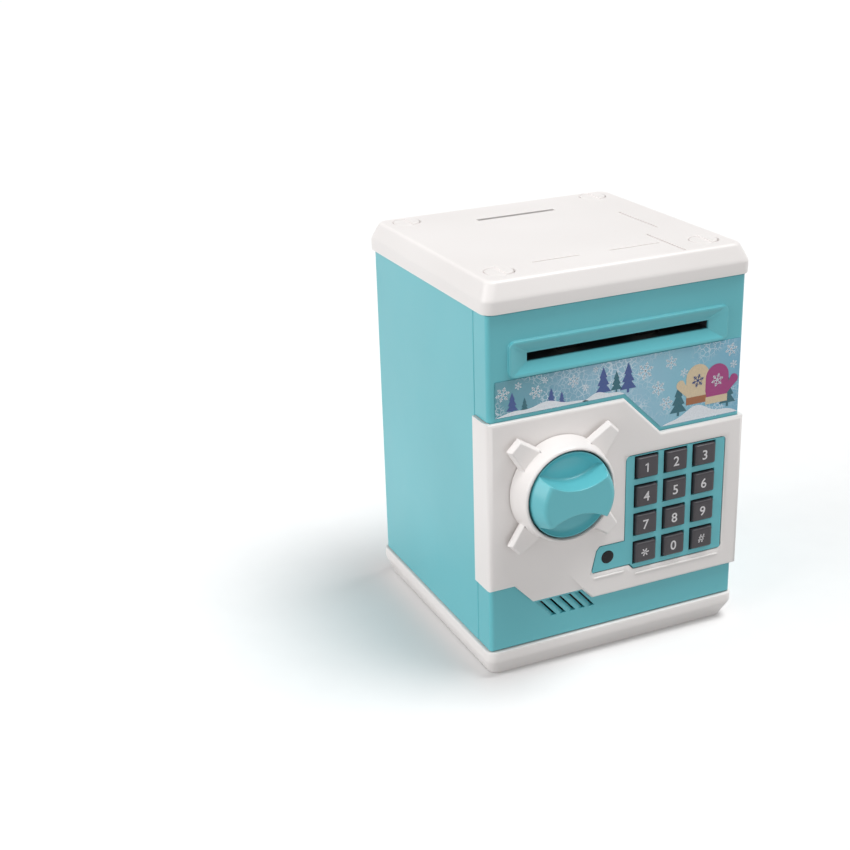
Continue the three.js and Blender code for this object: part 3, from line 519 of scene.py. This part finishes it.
# inset along x, inset along y, corner radius and height of each level of the plinth's rim
PLINTH_LEVELS = [
    (3.8, 5.1, 3.9, 0.0),
    (3.5, 4.8, 4.1, 0.08),
    (3.27, 4.5, 4.2, 0.35),
    (0.4, 0.55, 5, 7.5),
    (0.16, 0.2, 5, 8.2),
    (0.03, 0.04, 5, 8.9),
    (0, 0, 5, 9.6),
    (0, 0, 5, 12.8),
    (0.09, 0.09, 5, 13.2),
    (0.3, 0.3, 4.9, 13.48),
    (0.75, 0.75, 4.8, 13.6),
]
PLINTH_CORE = (60, 57)  # half the size of the part inside the rim that keeps the CAD's shape


def make_plinth():
    """The plinth: a rounded rim round the CAD's inside. Its underside is wider at the sides than in front."""
    middle, size = centre_and_size("plinth")
    levels = [(size.x / 2 - u, size.y / 2 - v, corner, z) for u, v, corner, z in PLINTH_LEVELS]
    skin = skinned(levels, lambda u, v, z: ((middle.x + u) * MM, (middle.y + v) * MM, z * MM))

    def core(overlap):
        x, y = (half + overlap for half in PLINTH_CORE)
        return box_mesh((-x, middle.y - y, -1), (x, middle.y + y, 15))

    pin, pin_size = centre_and_size("hinge_pin_bottom")
    reach = pin_size.x / 2 + 0.3
    bore = spun([(0, 8), (reach, 8), (reach, 15), (0, 15)], pin.x, pin.y, 0)
    rim = carved(skin, [core(0), bore])
    inside = carved(nodes["plinth"].data.copy(), [core(0.1)], "INTERSECT")
    return carved(inside, [rim], "UNION")


plinth = piece("fine_plinth", make_plinth(), "cabinet", "white_plastic", ["plinth"])
plinth.data.shade_smooth()
plinth.data.set_sharp_from_angle(angle=math.radians(33))
refined("latch_strike", 0.3)
refined("battery_cover", 0.3)


# ---------------------------------------------------------------- door

DOOR_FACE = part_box("door_shell")[0].y / MM + 1.5  # the bezel stands this much in front of it
GRILLE_SLOTS, GRILLE_PITCH = 5, 5
SLOT_WIDTH, SLOT_GAP = 3.3, 1.1


def leaning(points, low, high, lean):
    """A prism between two heights over an outline in (x, y), leaning to the left as it rises."""
    bm = bmesh.new()
    foot = [bm.verts.new(Vector((x, y, low)) * MM) for x, y in points]
    head = [bm.verts.new(Vector((x - lean, y, high)) * MM) for x, y in points]
    bm.faces.new(foot)
    bm.faces.new(head[::-1])
    for i in range(len(points)):
        j = (i + 1) % len(points)
        bm.faces.new((foot[i], head[i], head[j], foot[j]))
    bmesh.ops.recalc_face_normals(bm, faces=bm.faces)
    return to_mesh("leaning", bm)


def make_door_shell():
    """The door's shell, with louvred slots in the grille: each floor slopes down to a gap along its right."""
    filler = box_mesh((-42, DOOR_FACE, 23), (-8, DOOR_FACE + 2.5, 36.5))
    shell = carved(nodes["door_shell"].data.copy(), [filler], "UNION")
    cutters = []
    front, deep = DOOR_FACE - 1, DOOR_FACE + 3
    for i in range(GRILLE_SLOTS):
        left = -24.4 + (i - 2) * GRILLE_PITCH
        right = left + SLOT_WIDTH
        floor = [(left, front), (right, front), (right, DOOR_FACE + 1.7), (left, DOOR_FACE + 0.25)]
        inner, outer = right - SLOT_GAP, right - 0.001
        gap = [(inner, front), (outer, front), (outer, deep), (inner, deep)]
        cutters += [leaning(plan, 25.2, 34.2, 7.8) for plan in (floor, gap)]
    return carved(shell, cutters)


def door_edges(p):
    """The door's outer edges, without the grille's."""
    return p.y < DOOR_FACE + 0.3 and abs(p.z - 29.7) > 8 or p.y > -47 and p.x < -64


def fascia_edges(p):
    """The inner and outer edges of the fascia's bevel, without the tab's."""
    return (p.y < -61.7 or -61.15 < p.y < -61.0) and (p.z > 46.5 or p.x > -12)


shell = piece("fine_door_shell", make_door_shell(), "door", "teal_plastic", ["door_shell"])
soften(shell, 0.45, where=door_edges)
refined("fascia_panel", 0.5, where=fascia_edges, shortest=1.5)
refined("keypad_plate", 0.18, where=lambda p: p.y < -61, segments=2)

WEB_DEPTHS = (-61.42, -61.0)


def corner_fill(corner, first, second, size):
    """A small web that rounds a corner of the window; its curve's two ends lie along first and second."""
    x, z = corner
    steps = 8
    curve = []
    for i in range(steps + 1):
        t = i / steps
        a, b = (1 - t) ** 2 * size, t**2 * size
        curve.append((x + first[0] * a + second[0] * b, z + first[1] * a + second[1] * b))
    return slab([(x, z), *curve], *WEB_DEPTHS)


WINDOW_CORNERS = (
    ((3.1, 98.1), (1, 0), (0, -1), 3.0),
    ((57.1, 98.1), (-1, 0), (0, -1), 3.0),
    ((57.1, 39.8), (-1, 0), (0, 1), 3.4),
    ((-14.5, 42.4), (1, 0), (0.24, 0.97), 2.8),
)
for i, web in enumerate(WINDOW_CORNERS, 1):
    piece(f"window_corner_{i}", corner_fill(*web), "door", "white_plastic")

BEAD_FOOT = -61.95  # just inside the fascia's face


def make_bead(x0, x1, z):
    """A half-round ridge along the fascia, below the window."""
    levels = [(0.62, 0.0), (0.56, 0.22), (0.4, 0.4), (0.18, 0.5)]
    middle, half_length = (x0 + x1) / 2, (x1 - x0) / 2
    bm = bmesh.new()
    rings = []
    for half, height in levels:
        around = rounded_ring(half_length - levels[0][0] + half, half, half * 0.98, 6)
        y = BEAD_FOOT - height
        rings.append([bm.verts.new(Vector((middle + u, y, z + v)) * MM) for u, v in around])
    return wrapped(bm, rings)


for name, x0, x1, z in (("bead_sensor", -13.4, 3.2, 40.4), ("bead_keys", 9, 55, 37.7)):
    bead = piece(name, make_bead(x0, x1, z), "door", "white_plastic")
    bead.data.shade_smooth()

lens_middle, _ = centre_and_size("sensor_lens")
LENS = [(0, -61.5), (1.9, -61.5), (2.7, -61.42), (3.15, -61.3), (3.3, -61.15), (3.3, -61.05)]
LENS += [(2.5, -61.0), (2.5, -56.0), (0, -56.0)]
lens_mesh = lathe(LENS, lens_middle.x, lens_middle.z)
lens = piece("fine_lens", lens_mesh, "door", "black_plastic", ["sensor_lens"])
lens.data.shade_smooth()
lens.data.set_sharp_from_angle(angle=math.radians(50))
refined("door_cover", 0.5, where=lambda p: p.y > -47.2, angle=60)


def inset_outline(points, by):
    """A convex outline, drawn anticlockwise, with every side moved inwards."""
    lines = []
    for (x0, z0), (x1, z1) in zip(points, points[1:] + points[:1]):
        length = math.hypot(x1 - x0, z1 - z0)
        nx, nz = -(z1 - z0) / length, (x1 - x0) / length
        lines.append((nx, nz, nx * x0 + nz * z0 + by))
    corners = []
    for (a, b, c), (d, e, f) in zip(lines[-1:] + lines[:-1], lines):
        scale = a * e - b * d
        corners.append(((c * e - b * f) / scale, (a * f - c * d) / scale))
    return corners


def tapered(points, levels):
    """A closed piece over a convex outline in (x, z): levels are (y, inset) from back to front."""
    bm = bmesh.new()
    rings = [
        [bm.verts.new((x * MM, y * MM, z * MM)) for x, z in inset_outline(points, by)]
        for y, by in levels
    ]
    return wrapped(bm, rings)


RING_INNER, RING_RIM, RING_FOOT = 20.8, 22.6, 24.6  # radii of the collar
LUG = [(21.3, -7.0), (35.5, -3.8), (35.5, 3.8), (21.3, 7.0)]  # along and across its own direction
LUG_LEVELS = [(-63.9, 0), (-65.0, 0), (-67.2, 1.05)]
LUG_SHIFT = 0.9


def make_ring():
    """The white collar round the knob, with four lugs that stand clear of the fascia."""
    low, high = (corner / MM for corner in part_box("knob_ring"))
    x, z = (low.x + high.x) / 2, (low.z + high.z) / 2
    front, rear = low.y, high.y
    inner, rim = RING_INNER, RING_RIM
    profile = [(inner, rear), (inner, front + 0.5), (inner + 0.1, front + 0.24)]
    profile += [(inner + 0.3, front + 0.06), (inner + 0.55, front), (rim - 0.95, front + 0.03)]
    profile += [(rim - 0.55, front + 0.2), (rim - 0.2, front + 0.52), (rim - 0.02, front + 1.0)]
    profile += [(RING_FOOT, rear), (inner, rear)]
    lugs = []
    for quarter in range(4):
        turn = math.pi / 4 + quarter * math.pi / 2
        a, b = math.cos(turn), math.sin(turn)
        points = [(x + LUG_SHIFT + a * u - b * v, z + b * u + a * v) for u, v in LUG]
        lugs.append(tapered(points, LUG_LEVELS))
    return carved(lathe(profile, x, z), lugs, "UNION")


KNOB_RADIUS, KNOB_FACE = 20.2, 17.2
KNOB_RIM = -73.2  # where the knob's side begins to round over
SCOOP_OFFSET = 31  # from the knob's axis to the axis of each scoop


def make_knob():
    """The knob: a flat-topped dome with two scoops, which leave a waisted grip bar."""
    low, high = (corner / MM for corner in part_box("knob"))
    x, z = (low.x + high.x) / 2, (low.z + high.z) / 2
    front, rear = low.y, high.y
    radius, face, rim = KNOB_RADIUS, KNOB_FACE, KNOB_RIM
    profile = [(0, front), (face - 2.3, front), (face - 1.5, front + 0.06), (face - 0.8, front + 0.26)]
    profile += [(face - 0.2, front + 0.62), (face + 0.3, front + 1.2), (face + 0.6, front + 1.9)]
    profile += [(face + 0.85, front + 2.6), (radius - 0.5, rim - 1.3), (radius - 0.28, rim - 0.5)]
    profile += [(radius - 0.1, rim + 0.3), (radius, rim + 1.2), (radius, rear), (0, rear)]
    bowl = [(0, front - 2), (30, front - 2), (30, -73.0), (19.75, -73.0), (19.3, -72.5)]
    bowl += [(18.5, -71.5), (17.4, -70.9), (16, -70.65), (0, -70.6)]
    wall = [(0, front - 1), (25.2, front - 1), (24.55, -72.6), (24.3, -71.6), (23.9, -70.95)]
    wall += [(23.2, -70.62), (22.2, -70.5), (0, -70.5)]
    scoops = []
    for way in (-1, 1):
        scoop = lathe(wall, x, z + way * SCOOP_OFFSET, 160)
        scoops.append(carved(scoop, [lathe(bowl, x, z, 128)], "INTERSECT"))
    return carved(lathe(profile, x, z, 128), scoops)


ring = piece("fine_knob_ring", make_ring(), "door", "white_plastic", ["knob_ring"])
soften(ring, 0.35, angle=24)
knob = piece("fine_knob", make_knob(), "knob", "teal_plastic", ["knob"])
soften(knob, 0.35, angle=40, segments=4, where=lambda p: p.y < -74)


CAP_WIDTH, CAP_HEIGHT = 11.1, 10.2

# how far each level of a cap's face is inset on each side, its corner radius, and its place behind the front
CAP_LEVELS = [
    (0.05, 0.05, 0.7, 1.0),
    (0.22, 0.22, 0.8, 0.55),
    (0.55, 0.55, 0.9, 0.2),
    (1.0, 1.0, 1.0, 0.02),
    (1.6, 1.6, 1.0, 0.0),
    (3.2, 3.0, 0.9, 0.06),
]


def make_key(low, high):
    """A key cap with a flange, crisp sides, a bevelled face and a slight dish."""
    middle, half = (low + high) / 2, (high - low) / 2
    width, height = CAP_WIDTH / 2, CAP_HEIGHT / 2
    front, rear = low.y, high.y
    levels = [(half.x, half.z, 0.3, rear), (half.x, half.z, 0.3, rear - 1.2)]
    levels += [(width, height, 0.6, rear - 1.25)]
    levels += [(width - u, height - v, corner, front + depth) for u, v, corner, depth in CAP_LEVELS]
    return skinned(levels, lambda u, v, y: ((middle.x + u) * MM, y * MM, (middle.z + v) * MM))


def legend(text, size, x, y, z):
    """Printed legend on a key: a thin solid glyph facing the front."""
    curve = bpy.data.curves.new("glyph", "FONT")
    curve.body, curve.size = text, size * MM
    curve.align_x = curve.align_y = "CENTER"
    curve.extrude = 0.02 * MM
    curve.offset = 0.07 * MM
    curve.resolution_u = 6
    glyph = bpy.data.objects.new("glyph", curve)
    bpy.context.scene.collection.objects.link(glyph)
    graph = bpy.context.evaluated_depsgraph_get()
    mesh = bpy.data.meshes.new_from_object(glyph.evaluated_get(graph), depsgraph=graph)
    bpy.data.objects.remove(glyph)
    corners = [v.co.copy() for v in mesh.vertices]
    centre_x = (min(c.x for c in corners) + max(c.x for c in corners)) / 2
    centre_y = (min(c.y for c in corners) + max(c.y for c in corners)) / 2
    mesh.transform(Matrix.Translation((-centre_x, -centre_y, 0)))
    mesh.transform(Matrix.Rotation(math.pi / 2, 4, "X"))
    mesh.transform(Matrix.Translation((x * MM, y * MM, z * MM)))
    return mesh


def bars_mesh(bars, front):
    """Thin printed bars, each (start, end, width) in (x, z)."""
    bm = bmesh.new()
    for (x0, z0), (x1, z1), width in bars:
        length = math.hypot(x1 - x0, z1 - z0)
        nx, nz = -(z1 - z0) / length * width / 2, (x1 - x0) / length * width / 2
        corners = [(x0 - nx, z0 - nz), (x1 - nx, z1 - nz), (x1 + nx, z1 + nz), (x0 + nx, z0 + nz)]
        bm.faces.new([bm.verts.new((x * MM, front * MM, z * MM)) for x, z in corners])
    grown = bmesh.ops.extrude_face_region(bm, geom=list(bm.faces))
    moved = [v for v in grown["geom"] if isinstance(v, bmesh.types.BMVert)]
    bmesh.ops.translate(bm, verts=moved, vec=(0, 0.04 * MM, 0))
    bmesh.ops.recalc_face_normals(bm, faces=bm.faces)
    return to_mesh("bars", bm)


# legends drawn as bars, each (start, end, width)
STAR = [
    ((-2 * math.cos(t), -2 * math.sin(t)), (2 * math.cos(t), 2 * math.sin(t)), 0.6) for t in (0.1, 1.15, 2.2)
]
HASH = [((-1.3, -2), (-0.2, 2), 0.55), ((0.3, -2), (1.4, 2), 0.55), ((-1.7, -0.65), (1.3, -0.65), 0.5)]
HASH += [((-1.3, 0.75), (1.7, 0.75), 0.5)]
ONE = [((0.2, -2.25), (0.2, 2.25), 0.68), ((-1.1, 1.25), (0.2, 2.1), 0.55)]
DRAWN = {"star": STAR, "hash": HASH, "1": ONE}
LEGEND_SIZE = 6.6
LEGEND_SHIFT = -0.6  # the legends stand a little left of the caps' middles

for node in [n for n in nodes if n.startswith("key_")]:
    low, high = (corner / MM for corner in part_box(node))
    mark = node.split("_")[1]
    cap = piece("cap_" + mark, make_key(low, high), node, "charcoal_keys", [node])
    cap.data.shade_smooth()
    cap.data.set_sharp_from_angle(angle=math.radians(45))
    x, z = (low.x + high.x) / 2 + LEGEND_SHIFT, (low.z + high.z) / 2
    if mark in DRAWN:
        bars = [((x + a, z + b), (x + c, z + d), width) for (a, b), (c, d), width in DRAWN[mark]]
        printed = bars_mesh(bars, low.y - 0.02)
    else:
        printed = legend(mark, LEGEND_SIZE, x, low.y, z)
    piece("legend_" + mark, printed, node, "charcoal_keys", material="legend_ink")


# ---------------------------------------------------------------- winter label

LABEL = [(-61.5, 144.4), (-61.5, 127.9), (2.6, 127.9), (22.2, 108.3), (63.6, 108.3), (63.6, 144.4)]
LABEL_FRONT, LABEL_REAR = (corner.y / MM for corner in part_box("front_sticker"))
PRINT_Y = LABEL_FRONT - 0.03
PRINT_STEP = 0.015  # from one layer of print to the next

label_mesh = slab(LABEL, LABEL_FRONT, LABEL_REAR)
piece("winter_label", label_mesh, "door", "sticker_print", ["front_sticker"])


def snowflake(x, z, radius, turn=0.0):
    """Bars of a six-armed snowflake as (start, end, width)."""
    bars = []
    for arm in range(6):
        t = turn + arm * math.pi / 3
        along = (math.cos(t), math.sin(t))
        bars.append(((x, z), (x + along[0] * radius, z + along[1] * radius), radius * 0.11))
        for share, length in ((0.45, 0.32), (0.72, 0.22)):
            root = (x + along[0] * radius * share, z + along[1] * radius * share)
            reach = radius * length
            for side in (-1, 1):
                b = t + side * math.pi / 3.4
                tip = (root[0] + math.cos(b) * reach, root[1] + math.sin(b) * reach)
                bars.append((root, tip, radius * 0.09))
    return bars


def printed_shape(name, points, ink_name, layer=0):
    """A flat printed patch; later layers lie on earlier ones."""
    front = PRINT_Y - PRINT_STEP * layer
    piece(name, slab(points, front, front + 0.03), "door", "sticker_print", material=ink_name)


def fir(x, z, height):
    """The outline of a fir tree with three tiers, standing on z."""
    half = height * 0.3
    right = []
    for tier in range(3):
        foot = z + height * (0.12 + 0.26 * tier)
        reach = half * (1 - 0.26 * tier)
        right += [(x + reach, foot), (x + reach * 0.42, foot + height * 0.24)]
    trunk = [(x + half * 0.14, z), (x + half * 0.14, z + height * 0.12)]
    outline = [*trunk, *right[:-1], (x, z + height)]
    return outline + [(2 * x - u, v) for u, v in reversed(outline[:-1])]


FIRS = (
    (-53.5, 129.2, 9.5, "navy_ink"),
    (-47.5, 128.8, 6.5, "pine_ink"),
    (-34.5, 129.4, 8, "navy_ink"),
    (-29.3, 128.9, 6, "navy_ink"),
    (-8.5, 129, 13.5, "navy_ink"),
    (-1.8, 129.6, 10, "pine_ink"),
    (4.2, 128.4, 14.2, "navy_ink"),
    (31, 112, 15, "pine_ink"),
    (57.6, 112, 15, "pine_ink"),
)
for i, (x, z, height, tone) in enumerate(FIRS, 1):
    printed_shape(f"label_fir_{i}", fir(x, z, height), tone, 1)


def hill(x0, x1, low, high, waves):
    """A snow bank: flat below, with a rolling top."""
    steps = 40
    crest = []
    for i in range(steps + 1):
        share = i / steps
        rise = math.sin(math.pi * share) * (0.75 + 0.25 * math.cos(waves * share))
        crest.append((x1 + (x0 - x1) * share, low + 0.2 + (high - low) * rise))
    return [(x0, low), (x1, low), *crest]


printed_shape("label_snow_left", hill(-61, -16, 128.1, 131.6, 14), "snow_ink", 2)
printed_shape("label_snow_middle", hill(-19, 2.2, 128.1, 131.4, 9), "snow_ink", 2)
printed_shape("label_snow_right", hill(23, 63.2, 108.6, 115.5, 11), "snow_ink", 2)


def mitten(x, z, size, hand):
    """The outline of a mitten, thumb towards hand."""
    palm = arc((0, 4.2), 2.7, 0, 180, 14)
    thumb = [(-2.7, 2.8), *arc((-3.9, 3.1), 1.05, 60, 240, 8), (-2.7, 0.6), (-2.3, 0)]
    return [(x + hand * u * size, z + v * size) for u, v in [(2.3, 0), (2.7, 1.5), *palm, *thumb]]


MITTEN_SIZE = 2.3
MITTENS = (
    # x, z, thumb's side, colour, cuff's colour, snowflake's colour
    (41.0, 119.5, 1, "cream_ink", "amber_ink", "navy_ink"),
    (51.5, 118, -1, "magenta_ink", "cream_ink", "snow_ink"),
)
for i, (x, z, hand, tone, cuff, _) in enumerate(MITTENS, 1):
    printed_shape(f"label_mitten_{i}", mitten(x, z, MITTEN_SIZE, hand), tone, 1 + 2 * i)
    band = [(x - 5.9, z - 3.1), (x + 5.9, z - 3.1), (x + 5.9, z + 0.4), (x - 5.9, z + 0.4)]
    printed_shape(f"label_cuff_{i}", band, cuff, 2 + 2 * i)


SNOWFLAKES = (  # x, z, radius, turn
    (-58, 138.5, 3.4, 0.2),
    (-50.5, 141.2, 1.8, 0.5),
    (-42, 136.8, 3.2, 0.1),
    (-37.5, 141.5, 1.6, 0.9),
    (-23.5, 138.6, 3.0, 0.4),
    (-17.5, 134.5, 1.7, 0.0),
    (-12.5, 142, 1.5, 0.3),
    (13, 137, 4.2, 0.3),
    (20, 127.5, 3.6, 0.6),
    (24.5, 119.5, 3.4, 0.1),
    (26.5, 138.5, 3.2, 0.5),
    (33.5, 132.5, 2.2, 0.4),
    (58.5, 139.5, 3.2, 0.25),
    (60.2, 132.2, 2.0, 0.7),
)
flakes = bars_mesh([bar for flake in SNOWFLAKES for bar in snowflake(*flake)], PRINT_Y - 0.01)
piece("label_snowflakes", flakes, "door", "sticker_print", material="snow_ink")
for i, (x, z, *_, tone) in enumerate(MITTENS, 1):
    flake = bars_mesh(snowflake(x, z + 8, 3.2, 0.26), PRINT_Y - 0.15)
    piece(f"label_mitten_flake_{i}", flake, "door", "sticker_print", material=tone)


# ---------------------------------------------------------------- stage, light and camera


FLOOR_REACH = 9.0
FLOOR_Z = -0.0004


def make_floor():
    """A plain pale floor under the bank. It throws no coloured light back on it."""
    bm = bmesh.new()
    steps = 12
    ticks = [-FLOOR_REACH + 2 * FLOOR_REACH * i / steps for i in range(steps + 1)]
    grid = [[bm.verts.new((x, y, FLOOR_Z)) for y in ticks] for x in ticks]
    for i in range(steps):
        for j in range(steps):
            bm.faces.new((grid[i][j], grid[i + 1][j], grid[i + 1][j + 1], grid[i][j + 1]))
    floor = bpy.data.objects.new("studio_floor", to_mesh("studio_floor", bm))
    bpy.context.scene.collection.objects.link(floor)
    g = Graph("floor_paper")
    fibres = g.noise(60, 4)
    tint = g.mix(fibres, (0.92, 0.92, 0.92, 1), (0.95, 0.95, 0.95, 1))
    floor.data.materials.append(g.set(Base_Color=tint, Roughness=0.8, Normal=g.bump(fibres, 0.02)))
    floor.visible_diffuse = False


def sun(name, towards, strength, spread):
    """A distant soft light, spread in degrees; towards points from the bank to the light."""
    data = bpy.data.lights.new(name, "SUN")
    data.energy, data.angle = strength, math.radians(spread)
    light = bpy.data.objects.new(name, data)
    light.rotation_euler = Vector(towards).to_track_quat("Z", "Y").to_euler()
    bpy.context.scene.collection.objects.link(light)


def make_world(brightness):
    """An even white dome, bright where it meets the floor so that no horizon shows."""
    world = bpy.data.worlds.new("studio")
    bpy.context.scene.world = world
    world.use_nodes = True
    tree = world.node_tree
    place = tree.nodes.new("ShaderNodeTexCoord")
    axes = tree.nodes.new("ShaderNodeSeparateXYZ")
    tree.links.new(place.outputs["Generated"], axes.inputs[0])
    height = tree.nodes.new("ShaderNodeMath")
    height.operation = "ABSOLUTE"
    tree.links.new(axes.outputs["Z"], height.inputs[0])
    fade = tree.nodes.new("ShaderNodeMapRange")
    fade.interpolation_type = "SMOOTHSTEP"
    band = {"From Min": 0.07, "From Max": 0.2, "To Min": 1.02, "To Max": brightness}
    for name, value in band.items():
        fade.inputs[name].default_value = value
    tree.links.new(height.outputs[0], fade.inputs["Value"])
    background = tree.nodes["Background"]
    background.inputs["Color"].default_value = (1, 1, 1, 1)
    tree.links.new(fade.outputs["Result"], background.inputs["Strength"])


CAMERA_PLACE = (-0.31665, -0.574545, 0.357565)
CAMERA_ANGLES = (-23.361, 21.946, -1.859)  # azimuth, elevation and roll
CAMERA_LENS = 61.25


def make_camera():
    """The camera, from the bank's front left and a little above it."""
    azimuth, elevation, roll = (math.radians(angle) for angle in CAMERA_ANGLES)
    level = math.cos(elevation)
    back = Vector((math.sin(azimuth) * level, -math.cos(azimuth) * level, math.sin(elevation)))
    right = (-back).cross(Vector((0, 0, 1))).normalized()
    up = right.cross(-back)
    level_right = right * math.cos(roll) + up * math.sin(roll)
    level_up = up * math.cos(roll) - right * math.sin(roll)
    data = bpy.data.cameras.new("camera")
    data.lens, data.sensor_width = CAMERA_LENS, 36.0
    data.clip_start = 0.01
    camera = bpy.data.objects.new("camera", data)
    turn = Matrix((level_right, level_up, back)).transposed().to_4x4()
    camera.matrix_world = Matrix.Translation(CAMERA_PLACE) @ turn
    bpy.context.scene.collection.objects.link(camera)
    bpy.context.scene.camera = camera


make_floor()
make_world(0.4)
sun("overhead_light", (0.32, -0.17, 1), 2.05, 30)
sun("side_light", (-1, 0, 0.25), 1.5, 50)
make_camera()
bpy.context.scene.view_settings.view_transform = "Standard"
